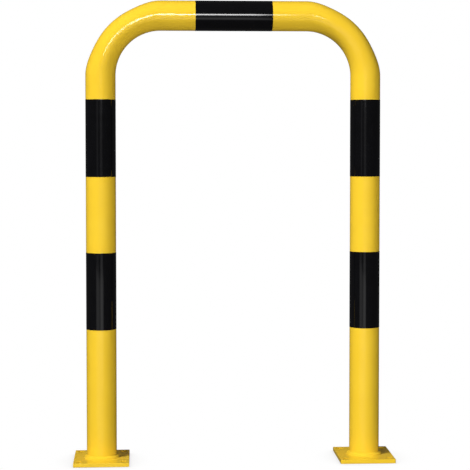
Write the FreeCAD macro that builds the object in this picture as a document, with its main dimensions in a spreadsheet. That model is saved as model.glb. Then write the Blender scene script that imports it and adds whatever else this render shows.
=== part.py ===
"""Steel hoop guard: a crash bar that is bolted to the floor in front of a door, a rack end or a pipe.

One length of round steel tube is bent into an upside-down U. Each foot is welded all round to a flat base
plate with four anchor holes. The steelwork is powder coated yellow, and five black warning bands of
self-adhesive film are wrapped round the tube: two on each leg and one in the middle of the top bar.

Row frame: millimetres, +Z up, X across the hoop, Y through it. The origin is on the floor, midway between
the two feet. Nothing moves: every piece is welded or stuck to its neighbour.
"""

import FreeCAD, Part
import Sketcher
import math
import os

# --------------------------------------------------------------------------- the driving dimensions

SIZES = (
    ("hoop_width", 750.0, "overall width of the tube, outside to outside"),
    ("hoop_height", 1170.0, "floor to the top of the tube"),
    ("tube_diameter", 76.1, "outside diameter of the tube"),
    ("tube_wall", 3.0, "wall thickness of the tube"),
    ("bend_radius", 152.0, "radius of each bend at the tube's centre line, twice the diameter"),
    ("bend_flattening", 7.4, "how far the outer wall is drawn in at the middle of a bend"),
    ("bend_spread", 1.4, "how far each side of the tube bulges at the middle of a bend"),
    ("plate_length_x", 140.0, "base plate, across the hoop"),
    ("plate_length_y", 160.0, "base plate, through the hoop"),
    ("plate_thickness", 10.0, "base plate thickness"),
    ("plate_corner_round", 2.0, "radius of the plate's four upright corners"),
    ("plate_edge_round", 0.8, "radius along the plate's upper edges"),
    ("anchor_hole_diameter", 14.0, "anchor holes, for M12 anchors"),
    ("anchor_edge_x", 15.0, "anchor hole centre to the plate edge, along X"),
    ("anchor_edge_y", 20.0, "anchor hole centre to the plate edge, along Y"),
    ("vent_hole_diameter", 20.0, "drain and vent hole in the plate, under the tube"),
    ("weld_leg", 7.0, "leg length of the fillet weld round each foot"),
    ("weld_crown", 0.9, "how far the weld's face bulges past flat"),
    ("film_width", 195.0, "length of tube that one black band covers"),
    ("film_gap", 192.0, "yellow stretch between the two bands of a leg"),
    ("film_drop", 60.0, "end of the bend to the top edge of a leg's upper band"),
    ("film_thickness", 0.3, "thickness of the film"),
    ("film_lap", 14.0, "length of film that laps over its own start, at the back"),
)

doc = FreeCAD.newDocument("hoop_guard")
sheet = doc.addObject("Spreadsheet::Sheet", "sizes")
for row, (alias, value, meaning) in enumerate(SIZES, start=1):
    sheet.set(f"A{row}", alias)
    sheet.set(f"B{row}", repr(value))
    sheet.set(f"C{row}", meaning)
    sheet.setAlias(f"B{row}", alias)
doc.recompute()

# Places worked out from the driving dimensions, as expressions that the document evaluates.
TUBE_RADIUS = "(sizes.tube_diameter / 2)"
LEG_X = f"(sizes.hoop_width / 2 - {TUBE_RADIUS})"
BAR_Z = f"(sizes.hoop_height - {TUBE_RADIUS})"
BEND_CENTRE_X = f"({LEG_X} - sizes.bend_radius)"
BEND_CENTRE_Z = f"({BAR_Z} - sizes.bend_radius)"
LEG_LENGTH = f"({BEND_CENTRE_Z} - sizes.plate_thickness)"
WELD_CHORD = "(sizes.weld_leg * sqrt(2))"
WELD_FACE_RADIUS = f"(({WELD_CHORD} ^ 2 / 4 + sizes.weld_crown ^ 2) / (2 * sizes.weld_crown))"

# The two sides of the hoop: the name of each, and the sign of its X.
SIDES = (("left", -1), ("right", 1))

UPRIGHT = FreeCAD.Rotation()
# Turns a piece that was made along Z so that it lies along X, with its own X pointing down.
ALONG_BAR = FreeCAD.Rotation(FreeCAD.Vector(0, 1, 0), 90)
# Turns a round piece about its own axis so that its start faces the back.
TO_BACK = FreeCAD.Rotation(FreeCAD.Vector(0, 0, 1), 90)

subparts = []


def bind(thing, **expressions):
    """Binds properties of an object to expressions; two underscores stand for a dot in a path."""
    for path, expression in expressions.items():
        thing.setExpression(path.replace("__", "."), expression)
    return thing


def place(thing, x="0", y="0", z="0", rotation=UPRIGHT):
    """Gives an object its rotation, and binds its position to the sheet."""
    thing.Placement = FreeCAD.Placement(FreeCAD.Vector(), rotation)
    return bind(thing, Placement__Base__x=x, Placement__Base__y=y, Placement__Base__z=z)


def subpart(thing, label):
    """Marks a finished object as a piece of its own, with the name that its file takes."""
    thing.Label = label
    subparts.append(thing)
    return thing


def cylinder(name, radius, height, turn="360", **where):
    """A cylinder, or a wedge of one, whose sizes are expressions."""
    made = doc.addObject("Part::Cylinder", name)
    bind(made, Radius=radius, Height=height, Angle=turn)
    return place(made, **where)


def cut(name, base, tool):
    made = doc.addObject("Part::Cut", name)
    made.Base = base
    made.Tool = tool
    return made


def fuse(name, pieces):
    made = doc.addObject("Part::MultiFuse", name)
    made.Shapes = pieces
    return made


# --------------------------------------------------------------------------- hoop tube
# Cold bent from one length. The inner wall of a bend follows the bending die, the outer wall is drawn in, and
# the sides spread a little, so the round section turns oval and back to round again.

BEND_STATIONS = (0, 6, 12, 18, 25, 35, 45, 55, 65, 72, 78, 84, 90)
FLATTENING_ONSET = 6  # the power that makes the oval start soon after the tangent and then stay even


def bend_section(name, angle, inset):
    """The tube's section at an angle round the left bend, smaller all round by inset."""
    share = f"(1 - cos({2 * angle}) ^ {FLATTENING_ONSET})"
    drawn_in = f"(sizes.bend_flattening * {share})"
    in_plane = f"({TUBE_RADIUS} - {drawn_in} / 2 - {inset})"
    across = f"({TUBE_RADIUS} + sizes.bend_spread * {share} - {inset})"
    reach = f"(sizes.bend_radius - {drawn_in} / 2)"
    if angle in (0, 90):
        made = doc.addObject("Part::Circle", name)
        bind(made, Radius=f"{TUBE_RADIUS} - {inset}")
    else:
        made = doc.addObject("Part::Ellipse", name)
        bind(made, MajorRadius=across, MinorRadius=in_plane)
    swing = math.radians(angle)
    outward = FreeCAD.Vector(-math.cos(swing), 0, math.sin(swing))
    along = FreeCAD.Vector(math.sin(swing), 0, math.cos(swing))
    facing = FreeCAD.Rotation(FreeCAD.Vector(0, 1, 0), outward, along, "ZXY")
    return place(
        made,
        x=f"-{BEND_CENTRE_X} - {reach} * cos({angle})",
        z=f"{BEND_CENTRE_Z} + {reach} * sin({angle})",
        rotation=facing,
    )


def bend(name, inset):
    """The left bend, solid, lofted through its sections."""
    made = doc.addObject("Part::Loft", name)
    made.Sections = [bend_section(f"{name}_at_{angle}", angle, inset) for angle in BEND_STATIONS]
    made.Solid = True
    made.Ruled = False
    return made


def whole_hoop(name, inset):
    """Both legs, both bends and the top bar as one solid, smaller all round by inset."""
    radius = f"{TUBE_RADIUS} - {inset}"
    left_bend = bend(f"{name}_bend_left", inset)
    right_bend = doc.addObject("Part::Mirroring", f"{name}_bend_right")
    right_bend.Source = left_bend
    right_bend.Normal = FreeCAD.Vector(1, 0, 0)
    legs = [
        cylinder(f"{name}_leg_{side}", radius, LEG_LENGTH, x=f"{sign} * {LEG_X}",
                 z="sizes.plate_thickness", rotation=TO_BACK)
        for side, sign in SIDES
    ]
    bar = cylinder(f"{name}_bar", radius, f"2 * {BEND_CENTRE_X}", x=f"-{BEND_CENTRE_X}", z=BAR_Z,
                   rotation=ALONG_BAR * TO_BACK)
    return fuse(name, [legs[0], left_bend, bar, right_bend, legs[1]])


subpart(
    cut("hoop", whole_hoop("hoop_outside", "0"), whole_hoop("hoop_bore", "sizes.tube_wall")),
    "hoop_tube",
)

# --------------------------------------------------------------------------- helpers for sketched pieces


def origin_plane(body, role):
    return next(plane for plane in body.Origin.OriginFeatures if plane.Role == role)


def sketch_on(body, name, role):
    """An empty sketch on one of the body's own origin planes."""
    made = body.newObject("Sketcher::SketchObject", name)
    made.AttachmentSupport = [(origin_plane(body, role), "")]
    made.MapMode = "FlatFace"
    return made


def tie(sketch, kind, *where):
    """A geometric constraint, or a dimension when the last value is a length."""
    return sketch.addConstraint(Sketcher.Constraint(kind, *where))


def dimension(sketch, name, expression, kind, *where):
    """A named dimension of a sketch that follows an expression. Its last value is where it starts from."""
    sketch.renameConstraint(tie(sketch, kind, *where), name)
    sketch.setExpression(f"Constraints.{name}", expression)


def value_of(alias):
    return float(sheet.get(alias))


def edges_where(shape, wanted):
    """The names of a shape's edges that pass a test."""
    return [f"Edge{number}" for number, edge in enumerate(shape.Edges, start=1) if wanted(edge)]


# --------------------------------------------------------------------------- base plates
# Cut from flat steel bar, with the corners and the upper edges broken, then drilled. The anchor holes take
# M12 anchors. The hole in the middle drains the tube and lets it breathe in the coating oven.


def plate_outline(body, name):
    """A rectangle centred on the body's axis. Its lines run front, right, back, left."""
    sketch = sketch_on(body, name, "XY_Plane")
    half_x = value_of("plate_length_x") / 2
    half_y = value_of("plate_length_y") / 2
    corners = [
        FreeCAD.Vector(-half_x, -half_y, 0),
        FreeCAD.Vector(half_x, -half_y, 0),
        FreeCAD.Vector(half_x, half_y, 0),
        FreeCAD.Vector(-half_x, half_y, 0),
    ]
    for start, end in zip(corners, corners[1:] + corners[:1]):
        sketch.addGeometry(Part.LineSegment(start, end), False)
    for line in range(4):
        tie(sketch, "Coincident", line, 2, (line + 1) % 4, 1)
        tie(sketch, "Vertical" if line % 2 else "Horizontal", line)
    tie(sketch, "Symmetric", 0, 1, 2, 1, -1, 1)
    dimension(sketch, "length_x", "sizes.plate_length_x", "DistanceX", 0, 1, 0, 2, 2 * half_x)
    dimension(sketch, "length_y", "sizes.plate_length_y", "DistanceY", 1, 1, 1, 2, 2 * half_y)
    return sketch


def anchor_circles(body, name):
    """The four anchor holes, each held off the nearest two edges of the plate."""
    sketch = sketch_on(body, name, "XY_Plane")
    from_middle = {
        "DistanceX": (value_of("plate_length_x") / 2 - value_of("anchor_edge_x"),
                      "sizes.plate_length_x / 2 - sizes.anchor_edge_x"),
        "DistanceY": (value_of("plate_length_y") / 2 - value_of("anchor_edge_y"),
                      "sizes.plate_length_y / 2 - sizes.anchor_edge_y"),
    }
    radius = value_of("anchor_hole_diameter") / 2
    for sign_x, sign_y in ((-1, -1), (1, -1), (1, 1), (-1, 1)):
        centre = FreeCAD.Vector(sign_x * from_middle["DistanceX"][0], sign_y * from_middle["DistanceY"][0], 0)
        hole = sketch.addGeometry(Part.Circle(centre, FreeCAD.Vector(0, 0, 1), radius), False)
        dimension(sketch, f"bore_{hole}", "sizes.anchor_hole_diameter / 2", "Radius", hole, radius)
        for kind, sign in (("DistanceX", sign_x), ("DistanceY", sign_y)):
            start, expression = from_middle[kind]
            # A signed distance runs from the first point to the second, so the order gives the side.
            ends = (-1, 1, hole, 3) if sign > 0 else (hole, 3, -1, 1)
            dimension(sketch, f"{kind}_{hole}", expression, kind, *ends, start)
    return sketch


def drill(body, name, sketch):
    """Cuts a sketch on the floor plane up through the whole plate, and checks that it cut."""
    doc.recompute()
    before = body.Shape.Volume
    pocket = body.newObject("PartDesign::Pocket", name)
    pocket.Profile = sketch
    pocket.Type = "ThroughAll"
    pocket.Reversed = True
    doc.recompute()
    assert body.Shape.Volume < before, f"{name} cut nothing"
    return pocket


def base_plate(side, sign):
    name = f"plate_{side}"
    thickness = value_of("plate_thickness")
    body = doc.addObject("PartDesign::Body", name)
    slab = body.newObject("PartDesign::Pad", f"{name}_slab")
    slab.Profile = plate_outline(body, f"{name}_outline")
    bind(slab, Length="sizes.plate_thickness")
    doc.recompute()

    corners = body.newObject("PartDesign::Fillet", f"{name}_corners")
    corners.Base = (slab, edges_where(slab.Shape, lambda edge: edge.BoundBox.ZLength > 0.999 * thickness))
    bind(corners, Radius="sizes.plate_corner_round")
    doc.recompute()

    broken = body.newObject("PartDesign::Fillet", f"{name}_upper_edges")
    broken.Base = (corners, edges_where(corners.Shape, lambda edge: edge.BoundBox.ZMin > 0.999 * thickness))
    bind(broken, Radius="sizes.plate_edge_round")

    drill(body, f"{name}_anchor_holes", anchor_circles(body, f"{name}_anchor_circles"))
    vent_circle = sketch_on(body, f"{name}_vent_circle", "XY_Plane")
    vent_radius = value_of("vent_hole_diameter") / 2
    vent_circle.addGeometry(Part.Circle(FreeCAD.Vector(), FreeCAD.Vector(0, 0, 1), vent_radius), False)
    tie(vent_circle, "Coincident", 0, 3, -1, 1)
    dimension(vent_circle, "bore", "sizes.vent_hole_diameter / 2", "Radius", 0, vent_radius)
    drill(body, f"{name}_vent_hole", vent_circle)

    place(body, x=f"{sign} * {LEG_X}")
    subpart(body, f"base_plate_{side}")


for side, sign in SIDES:
    base_plate(side, sign)

# --------------------------------------------------------------------------- welds
# One fillet weld runs all round each foot, in the corner between the tube and the plate, with a slightly
# raised face.


def weld_profile(body, name):
    """A right-angled triangle in the corner, with its long side bulging outwards as an arc."""
    sketch = sketch_on(body, name, "XZ_Plane")
    radius = value_of("tube_diameter") / 2
    leg = value_of("weld_leg")
    crown = value_of("weld_crown")
    face_radius = (leg ** 2 / 2 + crown ** 2) / (2 * crown)
    root = FreeCAD.Vector(radius, 0, 0)
    toe = FreeCAD.Vector(radius + leg, 0, 0)
    top = FreeCAD.Vector(radius, leg, 0)
    crest = (toe + top) / 2 + FreeCAD.Vector(1, 1, 0).normalize() * crown
    sketch.addGeometry(Part.LineSegment(root, toe), False)
    sketch.addGeometry(Part.LineSegment(top, root), False)
    sketch.addGeometry(Part.Arc(toe, crest, top), False)
    tie(sketch, "Horizontal", 0)
    tie(sketch, "Vertical", 1)
    tie(sketch, "PointOnObject", 0, 1, -1)
    tie(sketch, "Coincident", 1, 2, 0, 1)
    tie(sketch, "Coincident", 2, 1, 0, 2)
    tie(sketch, "Coincident", 2, 2, 1, 1)
    dimension(sketch, "tube_side", TUBE_RADIUS, "DistanceX", -1, 1, 0, 1, radius)
    dimension(sketch, "leg_along_plate", "sizes.weld_leg", "DistanceX", 0, 1, 0, 2, leg)
    dimension(sketch, "leg_up_tube", "sizes.weld_leg", "DistanceY", 1, 2, 1, 1, leg)
    dimension(sketch, "face_radius", WELD_FACE_RADIUS, "Radius", 2, face_radius)
    return sketch


for side, sign in SIDES:
    body = doc.addObject("PartDesign::Body", f"weld_ring_{side}")
    ring = body.newObject("PartDesign::Revolution", f"weld_ring_{side}_sweep")
    ring.Profile = weld_profile(body, f"weld_ring_{side}_profile")
    ring.ReferenceAxis = (ring.Profile[0], ["V_Axis"])
    ring.Angle = 360
    place(body, x=f"{sign} * {LEG_X}", z="sizes.plate_thickness")
    subpart(body, f"weld_{side}")

# --------------------------------------------------------------------------- black bands
# Each band is a length of film stuck round the tube, with its end lapped over its start at the back.


def band(label, z, x="0", rotation=UPRIGHT):
    """A film wrap that starts at a place on the tube's centre line and runs along the piece's own Z."""
    film_radius = f"{TUBE_RADIUS} + sizes.film_thickness"
    lap_radius = f"{TUBE_RADIUS} + 2 * sizes.film_thickness"
    lap_turn = f"(sizes.film_lap / ({lap_radius}) * 180 / pi)"
    wrap = cylinder(f"{label}_wrap", film_radius, "sizes.film_width")
    lap = cylinder(f"{label}_lap", lap_radius, "sizes.film_width", turn=lap_turn, rotation=TO_BACK)
    bind(lap, Placement__Rotation__Angle=f"90 - {lap_turn} / 2")
    tube = cylinder(f"{label}_bore", TUBE_RADIUS, "sizes.film_width")
    film = cut(f"{label}_film", fuse(f"{label}_layers", [wrap, lap]), tube)
    subpart(place(film, x=x, z=z, rotation=rotation), label)


UPPER_BAND_Z = f"{BEND_CENTRE_Z} - sizes.film_drop - sizes.film_width"
LOWER_BAND_Z = f"{UPPER_BAND_Z} - sizes.film_gap - sizes.film_width"

for side, sign in SIDES:
    band(f"band_{side}_lower", LOWER_BAND_Z, x=f"{sign} * {LEG_X}")
    band(f"band_{side}_upper", UPPER_BAND_Z, x=f"{sign} * {LEG_X}")
band("band_top", BAR_Z, x="-sizes.film_width / 2", rotation=ALONG_BAR)

# --------------------------------------------------------------------------- build, check and write

doc.recompute()
failed = [thing.Name for thing in doc.Objects if {"Invalid", "Error"} & set(thing.State)]
assert not failed, f"objects that did not build: {failed}"
for piece in subparts:
    assert not piece.Shape.isNull() and piece.Shape.isValid(), f"{piece.Label} has no valid shape"
    assert len(piece.Shape.Solids) == 1, f"{piece.Label} is not one solid"

os.makedirs("parts", exist_ok=True)
for piece in subparts:
    piece.Shape.exportStep(f"parts/{piece.Label}.step")
    print(f"{piece.Label}: {piece.Shape.Volume / 1000:.1f} cm3")
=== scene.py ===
"""Steel hoop guard, yellow with black bands: the looks of a bolt-down crash bar.

The hoop is one bent tube, welded at each foot to a drilled base plate, powder coated yellow and wrapped with
five bands of black film. Everything is in metres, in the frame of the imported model.
"""

import math

import bmesh
import bpy
from mathutils import Matrix, Vector, noise


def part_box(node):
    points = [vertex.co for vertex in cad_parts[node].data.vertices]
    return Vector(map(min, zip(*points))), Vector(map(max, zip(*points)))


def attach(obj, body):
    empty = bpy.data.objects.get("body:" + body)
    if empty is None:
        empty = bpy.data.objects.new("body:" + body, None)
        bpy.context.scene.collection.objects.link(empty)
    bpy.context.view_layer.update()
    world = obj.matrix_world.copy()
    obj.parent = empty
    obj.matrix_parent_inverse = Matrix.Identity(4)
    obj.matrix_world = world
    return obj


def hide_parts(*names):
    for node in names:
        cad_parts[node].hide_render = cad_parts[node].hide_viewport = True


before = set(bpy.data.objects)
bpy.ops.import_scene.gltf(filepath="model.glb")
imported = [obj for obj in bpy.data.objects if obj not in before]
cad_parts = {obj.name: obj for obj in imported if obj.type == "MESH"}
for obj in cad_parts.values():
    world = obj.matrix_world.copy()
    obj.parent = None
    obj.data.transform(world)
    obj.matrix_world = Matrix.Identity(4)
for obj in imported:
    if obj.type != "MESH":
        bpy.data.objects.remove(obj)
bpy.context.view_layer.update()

# --------------------------------------------------------------------------- hoop tube
# One length of round welded steel tube, 76.1 x 3 mm, cold bent twice on a rotary bender. The outer wall of each
# bend is drawn in a little, so the section there is oval. The tube ends stand on the base plates.

MM = 0.001
TUBE_RADIUS = 38.05 * MM
TUBE_WALL = 3.0 * MM
BEND_RADIUS = 152.0 * MM
BEND_FLATTENING = 7.4 * MM
BEND_SPREAD = 1.4 * MM
FLATTENING_ONSET = 6
TUBE_SIDES = 160
BEND_STEPS = 60
STRAIGHT_STEP = 25 * MM
SHARP_CORNER = math.radians(40)

SIDES = ("left", "right")

plate_low, plate_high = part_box("base_plate_right")
leg_x = (plate_low.x + plate_high.x) / 2
foot_z = plate_high.z
bar_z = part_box("hoop_tube")[1].z - TUBE_RADIUS
bend_x = leg_x - BEND_RADIUS
bend_z = bar_z - BEND_RADIUS


def bend_station(angle):
    """The tube's section at an angle round the left bend: centre, outward direction and two half-widths."""
    share = 1 - math.cos(2 * angle) ** FLATTENING_ONSET
    drawn_in = BEND_FLATTENING * share
    outward = Vector((-math.cos(angle), 0, math.sin(angle)))
    centre = Vector((-bend_x, 0, bend_z)) + outward * (BEND_RADIUS - drawn_in / 2)
    return centre, outward, TUBE_RADIUS - drawn_in / 2, TUBE_RADIUS + BEND_SPREAD * share


def straight_stations(start, end, outward):
    """Sections of the plain round tube from one point to another, both ends included."""
    steps = max(1, round((end - start).length / STRAIGHT_STEP))
    return [(start.lerp(end, i / steps), outward, TUBE_RADIUS, TUBE_RADIUS) for i in range(steps + 1)]


def mirrored(stations):
    """The same sections on the other side of the hoop, in the order that carries the path on."""
    flip = Vector((-1, 1, 1))
    return [
        (centre * flip, outward * flip, in_plane, across)
        for centre, outward, in_plane, across in reversed(stations)
    ]


def hoop_stations():
    """Every section of the tube, from the left foot up, over and down to the right foot."""
    left_leg = straight_stations(
        Vector((-leg_x, 0, foot_z)), Vector((-leg_x, 0, bend_z)), Vector((-1, 0, 0))
    )
    left_bend = [bend_station(math.pi / 2 * i / BEND_STEPS) for i in range(1, BEND_STEPS)]
    bar = straight_stations(Vector((-bend_x, 0, bar_z)), Vector((bend_x, 0, bar_z)), Vector((0, 0, 1)))
    return left_leg + left_bend + bar + mirrored(left_bend) + mirrored(left_leg)


def ring_points(station, inset):
    """One ring of points round a section, smaller all round by inset."""
    centre, outward, in_plane, across = station
    back = Vector((0, 1, 0))
    turns = [math.tau * i / TUBE_SIDES for i in range(TUBE_SIDES)]
    return [
        centre + outward * (in_plane - inset) * math.cos(turn) + back * ((across - inset) * math.sin(turn))
        for turn in turns
    ]


def bridge(first, second, count):
    """Quads between two closed rings of points, given by the number of each ring's first point."""
    return [
        (first + i, second + i, second + (i + 1) % count, first + (i + 1) % count)
        for i in range(count)
    ]


def piece_from(name, points, faces):
    """A new object with a smooth-shaded mesh, placed in the scene."""
    mesh = bpy.data.meshes.new(name)
    mesh.from_pydata([tuple(point) for point in points], [], faces)
    mesh.validate()
    mesh.shade_smooth()
    made = bpy.data.objects.new(name, mesh)
    bpy.context.scene.collection.objects.link(made)
    return made


def tube_piece():
    """The tube's wall as a closed shell: outer skin, bore and the two cut ends."""
    stations = hoop_stations()
    points = []
    for inset in (0, TUBE_WALL):
        for station in stations:
            points += ring_points(station, inset)
    bore = len(stations) * TUBE_SIDES
    last = bore - TUBE_SIDES
    skin_faces, bore_faces = [], []
    for ring in range(0, last, TUBE_SIDES):
        skin_faces += bridge(ring, ring + TUBE_SIDES, TUBE_SIDES)
        bore_faces += bridge(bore + ring + TUBE_SIDES, bore + ring, TUBE_SIDES)
    end_faces = bridge(bore, 0, TUBE_SIDES) + bridge(last, bore + last, TUBE_SIDES)
    made = piece_from("bent_tube", points, bore_faces + skin_faces + end_faces)
    made.data.set_sharp_from_angle(angle=SHARP_CORNER)
    for face in made.data.polygons:
        face.material_index = 1 if face.index < len(bore_faces) else 0
    return made


# Polyester powder coat, zinc yellow, sprayed on blasted steel and stoved. It gives a deep even yellow under a
# hard gloss. The coat flows out with a faint orange peel, so reflections waver and soften a little. The peel's
# real dimples are about 1 mm apart, too fine to show, so they are drawn at 3.2 mm.

COAT_YELLOW = "F8CF37"
COAT_YELLOW_DEEP = "F4C82F"
COAT_IOR = 1.5
COAT_CLOUD = 70 * MM
COAT_GLOSS_CLOUD = 26 * MM
COAT_ROUGHNESS = (0.06, 0.11)
CLOUD_SPAN = (0.3, 0.7)
ORANGE_PEEL = 3.2 * MM
ORANGE_PEEL_HEIGHT = 0.0012 * MM
LONG_WAVE = 14 * MM
LONG_WAVE_HEIGHT_ON_TUBE = 0.004 * MM


def linear(hex_colour):
    """An sRGB hex colour as the linear colour, with alpha, that a shader socket takes."""
    channels = [int(hex_colour[i:i + 2], 16) / 255 for i in (0, 2, 4)]
    return [c / 12.92 if c <= 0.04045 else ((c + 0.055) / 1.055) ** 2.4 for c in channels] + [1]


def add_node(owner, kind, inputs=None, **properties):
    """Adds a node to a material or world. Each input is a value, or the socket that feeds it."""
    made = owner.node_tree.nodes.new(kind)
    for name, value in properties.items():
        setattr(made, name, value)
    for name, value in (inputs or {}).items():
        if isinstance(value, bpy.types.NodeSocket):
            owner.node_tree.links.new(value, made.inputs[name])
        else:
            made.inputs[name].default_value = value
    return made


def emptied(owner):
    """A new material or world, ready for its own nodes."""
    owner.use_nodes = True
    owner.node_tree.nodes.clear()
    return owner


def powder_coat(name, long_wave_height):
    """The coat on one kind of steel: long_wave_height is how far the steel under it rolls up and down."""
    material = emptied(bpy.data.materials.new(name))
    place = add_node(material, "ShaderNodeTexCoord").outputs["Object"]
    cloud = add_node(material, "ShaderNodeTexNoise", {"Vector": place, "Scale": 1 / COAT_CLOUD, "Detail": 2.0})
    colour = add_node(
        material, "ShaderNodeMix",
        {"Factor": cloud.outputs["Fac"], "A": linear(COAT_YELLOW), "B": linear(COAT_YELLOW_DEEP)},
        data_type="RGBA",
    )
    haze = add_node(
        material, "ShaderNodeTexNoise", {"Vector": place, "Scale": 1 / COAT_GLOSS_CLOUD, "Detail": 3.0}
    )
    gloss = add_node(
        material, "ShaderNodeMapRange",
        {"Value": haze.outputs["Fac"], "From Min": CLOUD_SPAN[0], "From Max": CLOUD_SPAN[1],
         "To Min": COAT_ROUGHNESS[0], "To Max": COAT_ROUGHNESS[1]},
    )
    roll = add_node(material, "ShaderNodeTexNoise", {"Vector": place, "Scale": 1 / LONG_WAVE, "Detail": 1.0})
    rolled = add_node(
        material, "ShaderNodeBump",
        {"Height": roll.outputs["Fac"], "Distance": long_wave_height, "Strength": 1.0},
    )
    peel = add_node(material, "ShaderNodeTexNoise", {"Vector": place, "Scale": 1 / ORANGE_PEEL, "Detail": 1.0})
    peeled = add_node(
        material, "ShaderNodeBump",
        {"Height": peel.outputs["Fac"], "Distance": ORANGE_PEEL_HEIGHT, "Strength": 1.0,
         "Normal": rolled.outputs["Normal"]},
    )
    surface = add_node(
        material, "ShaderNodeBsdfPrincipled",
        {"Base Color": colour.outputs["Result"], "Roughness": gloss.outputs["Result"],
         "Normal": peeled.outputs["Normal"], "IOR": COAT_IOR},
    )
    add_node(material, "ShaderNodeOutputMaterial", {"Surface": surface.outputs["BSDF"]})
    return material


# Mill-scaled steel, as it left the rolls. The powder can't reach the closed bore, so it stays a dull blue grey
# with a bloom of brown rust.

SCALE_GREY = "4B4D50"
SCALE_RUST = "6A4A34"
SCALE_PATCH = 9 * MM
SCALE_RUST_SPAN = (0.52, 0.72)
SCALE_PIT_DEPTH = 0.03 * MM
SCALE_METALLIC = 0.8
SCALE_ROUGHNESS = 0.55


def mill_scale():
    """The bare steel of the bore."""
    material = emptied(bpy.data.materials.new("mill_scaled_steel"))
    place = add_node(material, "ShaderNodeTexCoord").outputs["Object"]
    patch = add_node(material, "ShaderNodeTexNoise", {"Vector": place, "Scale": 1 / SCALE_PATCH, "Detail": 5.0})
    rust = add_node(
        material, "ShaderNodeMapRange",
        {"Value": patch.outputs["Fac"], "From Min": SCALE_RUST_SPAN[0], "From Max": SCALE_RUST_SPAN[1]},
    )
    colour = add_node(
        material, "ShaderNodeMix",
        {"Factor": rust.outputs["Result"], "A": linear(SCALE_GREY), "B": linear(SCALE_RUST)},
        data_type="RGBA",
    )
    bump = add_node(
        material, "ShaderNodeBump",
        {"Height": patch.outputs["Fac"], "Distance": SCALE_PIT_DEPTH, "Strength": 1.0},
    )
    surface = add_node(
        material, "ShaderNodeBsdfPrincipled",
        {"Base Color": colour.outputs["Result"], "Metallic": SCALE_METALLIC, "Roughness": SCALE_ROUGHNESS,
         "Normal": bump.outputs["Normal"]},
    )
    add_node(material, "ShaderNodeOutputMaterial", {"Surface": surface.outputs["BSDF"]})
    return material


tube_coat = powder_coat("yellow_powder_coat_on_tube", LONG_WAVE_HEIGHT_ON_TUBE)
tube = tube_piece()
tube.data.materials.append(tube_coat)
tube.data.materials.append(mill_scale())
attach(tube, "root")
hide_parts("hoop_tube")

# --------------------------------------------------------------------------- base plates
# Two blanks of 10 mm hot-rolled flat steel, cut to 140 x 160 mm and drilled, one under each leg. Four 14 mm
# holes take M12 anchors, and a 20 mm hole under the tube drains and vents it. Blasting rounds the cut edges.

PLATE_CORNER_ROUND = 2.0 * MM
PLATE_EDGE_ROUND = 0.8 * MM
ANCHOR_HOLE = 14.0 * MM
ANCHOR_SPACING = Vector((110.0, 120.0)) * MM
VENT_HOLE = 20.0 * MM
CORNER_STEPS = 6
HOLE_SIDES = 56
ROUND_STEPS = 4
LONG_WAVE_HEIGHT_ON_PLATE = 0.06 * MM


def plate_outline(half, inset):
    """The plate's outline with rounded corners, drawn in by inset."""
    points = []
    for quarter, (sign_x, sign_y) in enumerate(((1, 1), (-1, 1), (-1, -1), (1, -1))):
        corner = Vector((sign_x * (half.x - PLATE_CORNER_ROUND), sign_y * (half.y - PLATE_CORNER_ROUND)))
        for i in range(CORNER_STEPS + 1):
            turn = math.pi / 2 * (quarter + i / CORNER_STEPS)
            points.append(corner + (PLATE_CORNER_ROUND - inset) * Vector((math.cos(turn), math.sin(turn))))
    return points


def hole_outline(centre, diameter, inset):
    """A hole's outline. Inset widens it, as the rim is rounded back into the plate."""
    turns = [math.tau * i / HOLE_SIDES for i in range(HOLE_SIDES)]
    return [centre + (diameter / 2 + inset) * Vector((math.cos(turn), math.sin(turn))) for turn in turns]


def edge_levels(thickness):
    """Up a plate's edge, with both rims rounded: how far each ring is drawn in, and how high it lies."""
    turns = [math.pi / 2 * i / ROUND_STEPS for i in range(ROUND_STEPS + 1)]
    lower = [
        (PLATE_EDGE_ROUND * (1 - math.sin(turn)), PLATE_EDGE_ROUND * (1 - math.cos(turn)))
        for turn in turns
    ]
    return lower + [(inset, thickness - height) for inset, height in reversed(lower)]


def plate_piece(side):
    """A plate as a closed mesh: a rounded wall round the outline and each hole, with the two faces between."""
    low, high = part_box(f"base_plate_{side}")
    middle = (low + high) / 2
    half = (high - low) / 2
    holes = [(Vector((0, 0)), VENT_HOLE)]
    for sign_x in (-1, 1):
        for sign_y in (-1, 1):
            place = Vector((sign_x * ANCHOR_SPACING.x / 2, sign_y * ANCHOR_SPACING.y / 2))
            holes.append((place, ANCHOR_HOLE))
    shape = bmesh.new()
    rims = {"under": [], "top": []}
    levels = edge_levels(high.z - low.z)
    for hole in [None] + holes:
        rings = []
        for inset, height in levels:
            outline = hole_outline(*hole, inset) if hole else plate_outline(half, inset)
            rings.append([
                shape.verts.new((middle.x + point.x, middle.y + point.y, low.z + height)) for point in outline
            ])
        for lower, upper in zip(rings, rings[1:]):
            for i in range(len(lower)):
                shape.faces.new((lower[i - 1], lower[i], upper[i], upper[i - 1]))
        for face, ring in (("under", rings[0]), ("top", rings[-1])):
            rims[face] += [shape.edges.get((ring[i - 1], ring[i])) for i in range(len(ring))]
    for edges in rims.values():
        bmesh.ops.triangle_fill(shape, edges=edges, use_beauty=True)
    bmesh.ops.recalc_face_normals(shape, faces=shape.faces)
    mesh = bpy.data.meshes.new(f"drilled_plate_{side}")
    shape.to_mesh(mesh)
    shape.free()
    mesh.shade_smooth()
    made = bpy.data.objects.new(mesh.name, mesh)
    bpy.context.scene.collection.objects.link(made)
    made.modifiers.new("flat_faces", "WEIGHTED_NORMAL")
    return made


plate_coat = powder_coat("yellow_powder_coat_on_plate", LONG_WAVE_HEIGHT_ON_PLATE)
for side in SIDES:
    plate = plate_piece(side)
    plate.data.materials.append(plate_coat)
    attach(plate, "root")
    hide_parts(f"base_plate_{side}")

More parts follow.
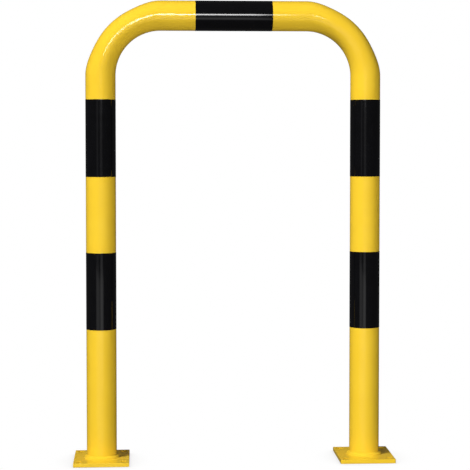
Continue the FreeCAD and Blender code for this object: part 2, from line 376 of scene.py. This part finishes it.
# --------------------------------------------------------------------------- foot welds
# A 7 mm fillet weld runs right round each foot and joins the tube to its plate. It is laid by hand with a
# wire-feed torch, starts and stops at the back, and is coated with the rest, which softens its ripples.

WELD_LEG = 7.0 * MM
WELD_CROWN = 0.9 * MM
WELD_COAT_RUN = 1.2 * MM
WELD_HUMP_POWER = 1.5
WELD_RIPPLE = 4.0 * MM
WELD_RIPPLE_HEIGHT = 0.16 * MM
RIPPLE_SWEEP = 2.6
RIPPLE_UNEVENNESS = 0.6
WELD_WANDER = 0.5 * MM
WELD_STOP_HEIGHT = 0.7 * MM
WELD_STOP_LENGTH = 7.0 * MM
WELD_SUNK = 0.05 * MM
WELD_STEPS = 480
WELD_PROFILE_STEPS = 20
TOE_SHARE = 0.07
DIAGONAL = math.sqrt(0.5)

# How often the hand wanders on the way round, with a far-off place in the noise for the plate's side.
SLOW_WANDER = 2.3
TUBE_SIDE_WANDER = 5.1
PLATE_SIDE_WANDER = 4.3
PLATE_SIDE_PLACE = Vector((7, 0, 0))
RIPPLE_WANDER = 9


def weld_point(turn, across, seed):
    """How far out and up a point of the weld's face lies. Across goes from 0 on the tube to 1 on the plate."""
    circle = Vector((math.cos(turn), math.sin(turn), seed))
    wander = WELD_WANDER * noise.noise(circle * SLOW_WANDER)
    tube_side = WELD_LEG + WELD_COAT_RUN + wander + WELD_WANDER * noise.noise(circle * TUBE_SIDE_WANDER)
    plate_wander = noise.noise(circle * PLATE_SIDE_WANDER + PLATE_SIDE_PLACE)
    plate_side = WELD_LEG + WELD_COAT_RUN + wander + WELD_WANDER * plate_wander
    from_stop = (turn - math.pi / 2) * (TUBE_RADIUS + WELD_LEG / 2)
    stop = WELD_STOP_HEIGHT * math.exp(-(from_stop / WELD_STOP_LENGTH) ** 2)
    hump = math.sin(math.pi * across)
    ripples = round(math.tau * (TUBE_RADIUS + WELD_LEG / 2) / WELD_RIPPLE)
    unevenness = RIPPLE_UNEVENNESS * noise.noise(circle * RIPPLE_WANDER)
    ripple = WELD_RIPPLE_HEIGHT * math.cos(ripples * turn + RIPPLE_SWEEP * hump + unevenness)
    toes = across * math.exp(-across / TOE_SHARE) + (1 - across) * math.exp((across - 1) / TOE_SHARE)
    rise = (WELD_CROWN + stop + ripple) * hump ** WELD_HUMP_POWER - toes * math.hypot(tube_side, plate_side)
    return across * plate_side + rise * DIAGONAL, (1 - across) * tube_side + rise * DIAGONAL


def weld_piece(side, sign, seed):
    """The weld as a closed ring of sections: its face from toe to toe, and the corner of tube and plate."""
    steps = [i / WELD_PROFILE_STEPS for i in range(WELD_PROFILE_STEPS + 1)]
    count = len(steps) + 1
    points, faces = [], []
    for i in range(WELD_STEPS):
        turn = math.tau * i / WELD_STEPS
        section = [weld_point(turn, across, seed) for across in steps] + [(0, 0)]
        for out, up in section:
            radius = TUBE_RADIUS - WELD_SUNK + out
            points.append((
                sign * leg_x + radius * math.cos(turn), radius * math.sin(turn), foot_z - WELD_SUNK + up
            ))
        faces += bridge((i + 1) % WELD_STEPS * count, i * count, count)
    made = piece_from(f"fillet_weld_{side}", points, faces)
    made.data.set_sharp_from_angle(angle=SHARP_CORNER)
    return made


for side, sign, seed in (("left", -1, 0.0), ("right", 1, 31.0)):
    weld = weld_piece(side, sign, seed)
    weld.data.materials.append(tube_coat)
    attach(weld, "root")
    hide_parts(f"weld_{side}")

# --------------------------------------------------------------------------- black bands
# Five strips of calendered black vinyl film, each stuck once round the coated tube. The end laps 14 mm over the
# start at the back, where it climbs over the first layer and leaves a thin ridge.

FILM_THICKNESS = 0.3 * MM
FILM_LAP = 14.0 * MM
FILM_CLIMB = 3.0 * MM
FILM_CLIMB_STEPS = 4
FILM_SIDES = 200
FILM_LENGTH_STEP = 8.0 * MM
FILM_WAVE = 45 * MM
FILM_WAVE_HEIGHT = 0.03 * MM

# The pressed-down edge: how far in from the end, and the share of the film's thickness there.
FILM_EDGE = ((0.0, 0.4), (0.05 * MM, 0.75), (0.2 * MM, 1.0), (0.8 * MM, 1.0))


def film_turns():
    """Round the wrap, from the hidden start to the lapped end: each point's angle and its lift off the tube."""
    lap = FILM_LAP / TUBE_RADIUS
    climb = FILM_CLIMB / TUBE_RADIUS
    turns = [(math.tau + lap) * i / FILM_SIDES - lap / 2 for i in range(FILM_SIDES + 1)]
    turns += [math.tau - lap / 2 - climb * i / FILM_CLIMB_STEPS for i in range(FILM_CLIMB_STEPS + 1)]
    lifted = []
    for turn in sorted(turns):
        share = min(1, max(0, (turn - (math.tau - lap / 2 - climb)) / climb))
        lifted.append((turn, FILM_THICKNESS * share * share * (3 - 2 * share)))
    return lifted


def film_piece(name, start, along):
    """A film wrapped round a straight run of tube from a start point: a thin closed sheet with soft edges."""
    length = along.length
    axis = along.normalized()
    back = Vector((0, 1, 0))
    aside = axis.cross(back)
    steps = round(length / FILM_LENGTH_STEP)
    stations = list(FILM_EDGE)
    stations += [(length * i / steps, 1.0) for i in range(1, steps)]
    stations += [(length - place, share) for place, share in reversed(FILM_EDGE)]
    points, faces = [], []
    turns = film_turns()
    count = 2 * len(turns)
    for place, share in stations:
        layers = ([], [])
        for turn, lift in turns:
            outward = back * math.cos(turn) + aside * math.sin(turn)
            base = start + axis * place + outward * (TUBE_RADIUS + lift)
            wave = FILM_WAVE_HEIGHT * share * noise.noise((base + outward * TUBE_RADIUS) / FILM_WAVE) ** 2
            layers[0].append(base + outward * (FILM_THICKNESS * share - wave))
            layers[1].append(base)
        points += layers[0] + layers[1][::-1]
    for i in range(len(stations) - 1):
        faces += bridge((i + 1) * count, i * count, count)
    half = count // 2
    for ring, flip in ((0, -1), ((len(stations) - 1) * count, 1)):
        for i in range(half - 1):
            corners = (ring + i, ring + i + 1, ring + count - 2 - i, ring + count - 1 - i)
            faces.append(corners[::flip])
    made = piece_from(name, points, faces)
    made.data.set_sharp_from_angle(angle=SHARP_CORNER)
    return made


# Vinyl film, calendered and pressed down with a squeegee. It gives a deep black with a slightly waxy gloss, and
# its face has a fine grain with long shallow waves that break up reflections. The real grain is about 0.2 mm,
# too fine to show, so it is drawn at 1.6 mm.

FILM_BLACK = "070708"
FILM_BLACK_WORN = "0D0D10"
FILM_IOR = 1.5
FILM_ROUGHNESS = (0.06, 0.1)
FILM_GRAIN = 1.6 * MM
FILM_GRAIN_HEIGHT = 0.002 * MM
FILM_STREAK = 18 * MM
FILM_STREAK_HEIGHT = 0.015 * MM


def black_film():
    """The film's face."""
    material = emptied(bpy.data.materials.new("black_vinyl_film"))
    place = add_node(material, "ShaderNodeTexCoord").outputs["Object"]
    cloud = add_node(material, "ShaderNodeTexNoise", {"Vector": place, "Scale": 1 / FILM_STREAK, "Detail": 3.0})
    colour = add_node(
        material, "ShaderNodeMix",
        {"Factor": cloud.outputs["Fac"], "A": linear(FILM_BLACK), "B": linear(FILM_BLACK_WORN)},
        data_type="RGBA",
    )
    gloss = add_node(
        material, "ShaderNodeMapRange",
        {"Value": cloud.outputs["Fac"], "From Min": CLOUD_SPAN[0], "From Max": CLOUD_SPAN[1],
         "To Min": FILM_ROUGHNESS[0], "To Max": FILM_ROUGHNESS[1]},
    )
    waves = add_node(
        material, "ShaderNodeBump",
        {"Height": cloud.outputs["Fac"], "Distance": FILM_STREAK_HEIGHT, "Strength": 1.0},
    )
    grain = add_node(material, "ShaderNodeTexNoise", {"Vector": place, "Scale": 1 / FILM_GRAIN, "Detail": 2.0})
    grained = add_node(
        material, "ShaderNodeBump",
        {"Height": grain.outputs["Fac"], "Distance": FILM_GRAIN_HEIGHT, "Strength": 1.0,
         "Normal": waves.outputs["Normal"]},
    )
    surface = add_node(
        material, "ShaderNodeBsdfPrincipled",
        {"Base Color": colour.outputs["Result"], "Roughness": gloss.outputs["Result"],
         "Normal": grained.outputs["Normal"], "IOR": FILM_IOR},
    )
    add_node(material, "ShaderNodeOutputMaterial", {"Surface": surface.outputs["BSDF"]})
    return material


film_finish = black_film()
for place, sign in (("left_lower", -1), ("left_upper", -1), ("top", 0), ("right_upper", 1), ("right_lower", 1)):
    node = f"band_{place}"
    low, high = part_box(node)
    if sign:
        start, along = Vector((sign * leg_x, 0, low.z)), Vector((0, 0, high.z - low.z))
    else:
        start, along = Vector((low.x, 0, bar_z)), Vector((high.x - low.x, 0, 0))
    band = film_piece(f"film_{place}", start, along)
    band.data.materials.append(film_finish)
    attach(band, "root")
    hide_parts(node)

# --------------------------------------------------------------------------- stage, lights and camera
# A pale floor that runs out into white, with only a soft contact shade painted into its glow under the plates.
# A key light stands far off at the left, with wide soft panels in front, at the right, low down and behind.
# Narrow strips and faint panels are only mirrored in the gloss.

FLOOR_RADIUS = 6.0
FLOOR_SIDES = 64
FLOOR_DROP = 0.2 * MM
FLOOR_WHITE = "FFFFFF"
# The colour of the painted contact shade, which darkens the floor's glow next to the plates.
FLOOR_PAINTED_SHADE = "D2D0CC"
SHADE_REACH = 90 * MM
SHADE_SAMPLES = 8


def floor_material():
    """White paper that glows evenly, with a painted contact shade that makes the glow a little darker close to
    the plates.
    """
    material = emptied(bpy.data.materials.new("studio_floor"))
    # Painted shade: ambient occlusion darkens the floor's glow where the plates stand close to it.
    painted_contact_shade = add_node(
        material, "ShaderNodeAmbientOcclusion", {"Distance": SHADE_REACH}, samples=SHADE_SAMPLES
    )
    colour = add_node(
        material, "ShaderNodeMix",
        {"Factor": painted_contact_shade.outputs["AO"], "A": linear(FLOOR_PAINTED_SHADE), "B": linear(FLOOR_WHITE)},
        data_type="RGBA",
    )
    surface = add_node(material, "ShaderNodeEmission", {"Color": colour.outputs["Result"], "Strength": 1.0})
    add_node(material, "ShaderNodeOutputMaterial", {"Surface": surface.outputs["Emission"]})
    return material


floor_turns = [math.tau * i / FLOOR_SIDES for i in range(FLOOR_SIDES)]
floor_rim = [
    (FLOOR_RADIUS * math.cos(turn), FLOOR_RADIUS * math.sin(turn), -FLOOR_DROP) for turn in floor_turns
]
floor = piece_from("studio_floor_disc", floor_rim, [tuple(range(FLOOR_SIDES))])
floor.data.materials.append(floor_material())
floor.visible_diffuse = False
floor.visible_glossy = False
floor.visible_shadow = False

# The backdrop is white to the eye. Surfaces get only the floor's bounce from it, and mirror a dark room.

BACKDROP_GLOW = 1.0
FLOOR_BOUNCE = 0.14
ROOM_DARK = 0.04

world = emptied(bpy.data.worlds.new("studio"))
bpy.context.scene.world = world
ray = add_node(world, "ShaderNodeLightPath").outputs
direction = add_node(world, "ShaderNodeTexCoord").outputs["Generated"]
upward = add_node(world, "ShaderNodeSeparateXYZ", {"Vector": direction}).outputs["Z"]
below = add_node(world, "ShaderNodeMath", {0: upward, 1: 0.0}, operation="LESS_THAN")
bounce = add_node(world, "ShaderNodeMath", {0: below.outputs["Value"], 1: FLOOR_BOUNCE}, operation="MULTIPLY")
white = linear(FLOOR_WHITE)
lit_by = add_node(world, "ShaderNodeBackground", {"Color": white, "Strength": bounce.outputs["Value"]})
mirrored_room = add_node(world, "ShaderNodeBackground", {"Color": white, "Strength": ROOM_DARK})
backdrop = add_node(world, "ShaderNodeBackground", {"Color": white, "Strength": BACKDROP_GLOW})
unseen = add_node(
    world, "ShaderNodeMixShader",
    {"Fac": ray["Is Glossy Ray"], 1: lit_by.outputs["Background"], 2: mirrored_room.outputs["Background"]},
)
sky = add_node(
    world, "ShaderNodeMixShader",
    {"Fac": ray["Is Camera Ray"], 1: unseen.outputs["Shader"], 2: backdrop.outputs["Background"]},
)
add_node(world, "ShaderNodeOutputWorld", {"Surface": sky.outputs["Shader"]})

TARGET = Vector((0, 0, 0.55))


def softbox(name, place, aim, width, height, radiance, role, tilt=0):
    """A rectangular light that faces a point. A fill lights surfaces, and a glint is only mirrored in them."""
    data = bpy.data.lights.new(name, "AREA")
    data.shape = "RECTANGLE"
    data.size, data.size_y = width, height
    data.energy = radiance * math.pi * width * height
    made = bpy.data.objects.new(name, data)
    made.location = place
    facing = (place - aim).to_track_quat("Z", "Y").to_matrix()
    made.rotation_euler = (facing @ Matrix.Rotation(math.radians(tilt), 3, "Z")).to_euler()
    made.visible_camera = False
    made.visible_glossy = role == "glint"
    made.visible_diffuse = role == "fill"
    bpy.context.scene.collection.objects.link(made)


def toward(azimuth, elevation, distance):
    """A place round the object. Azimuth 0 is straight in front, positive to the right."""
    swing, rise = math.radians(azimuth), math.radians(elevation)
    level = distance * math.cos(rise)
    return TARGET + Vector((level * math.sin(swing), -level * math.cos(swing), distance * math.sin(rise)))


# Fills: name, place, width, height and radiance.
for name, place, width, height, radiance in (
    ("key", toward(-52, 49, 9.0), 2.0, 2.0, 62),
    ("front_panel", toward(0, 5, 3.0), 1.8, 1.8, 3.1),
    ("right_panel", toward(38, 2, 3.0), 1.8, 1.8, 1.9),
    ("low_panel", toward(-20, -20, 3.0), 1.8, 1.0, 2.4),
    ("back_panel", toward(180, 5, 3.0), 1.8, 1.8, 3.5),
):
    softbox(name, place, TARGET, width, height, radiance, "fill")

# Glints: name, place, width, height, radiance and tilt in degrees. The strips draw the bright line along the
# bar, and the left one is raised and tilted so that the line fades out on the bend.
for name, place, width, height, radiance, tilt in (
    ("strip", Vector((0.0, -2.5, 1.345)), 0.54, 0.38, 18, 0),
    ("strip_right", Vector((0.33, -2.5, 1.37)), 0.12, 0.3, 7, 0),
    ("strip_left", Vector((-0.63, -2.5, 1.525)), 0.78, 0.26, 12, 27),
    ("centre_glint", Vector((-0.1, -3.0, 0.55)), 0.9, 2.4, 0.17, 0),
    ("left_glint", Vector((-1.5, -2.6, 0.55)), 0.7, 2.4, 0.13, 0),
    ("low_glint", Vector((-0.1, -2.9, 0.0)), 0.8, 0.6, 0.22, 0),
    ("floor_glint", Vector((-0.8, -2.3, -0.1)), 2.6, 0.7, 0.33, 0),
):
    softbox(name, place, Vector((place.x, 0, place.z)), width, height, radiance, "glint", tilt)

CAMERA_PLACE = Vector((-0.232, -3.777, 0.836))
CAMERA_YAW = 3.57
CAMERA_PITCH = -2.49
CAMERA_DROP = -0.08

# The lens and the sensor are in millimetres, as cameras give them.
SENSOR_WIDTH = 36
FOCAL_LENGTH = 113.821277

camera_data = bpy.data.cameras.new("camera")
camera_data.sensor_width = SENSOR_WIDTH
camera_data.lens = FOCAL_LENGTH
camera_data.shift_y = CAMERA_DROP
camera = bpy.data.objects.new("camera", camera_data)
camera.location = CAMERA_PLACE
camera.rotation_euler = (math.radians(90 + CAMERA_PITCH), 0, math.radians(-CAMERA_YAW))
bpy.context.scene.collection.objects.link(camera)
bpy.context.scene.camera = camera
bpy.context.scene.view_settings.view_transform = "Standard"
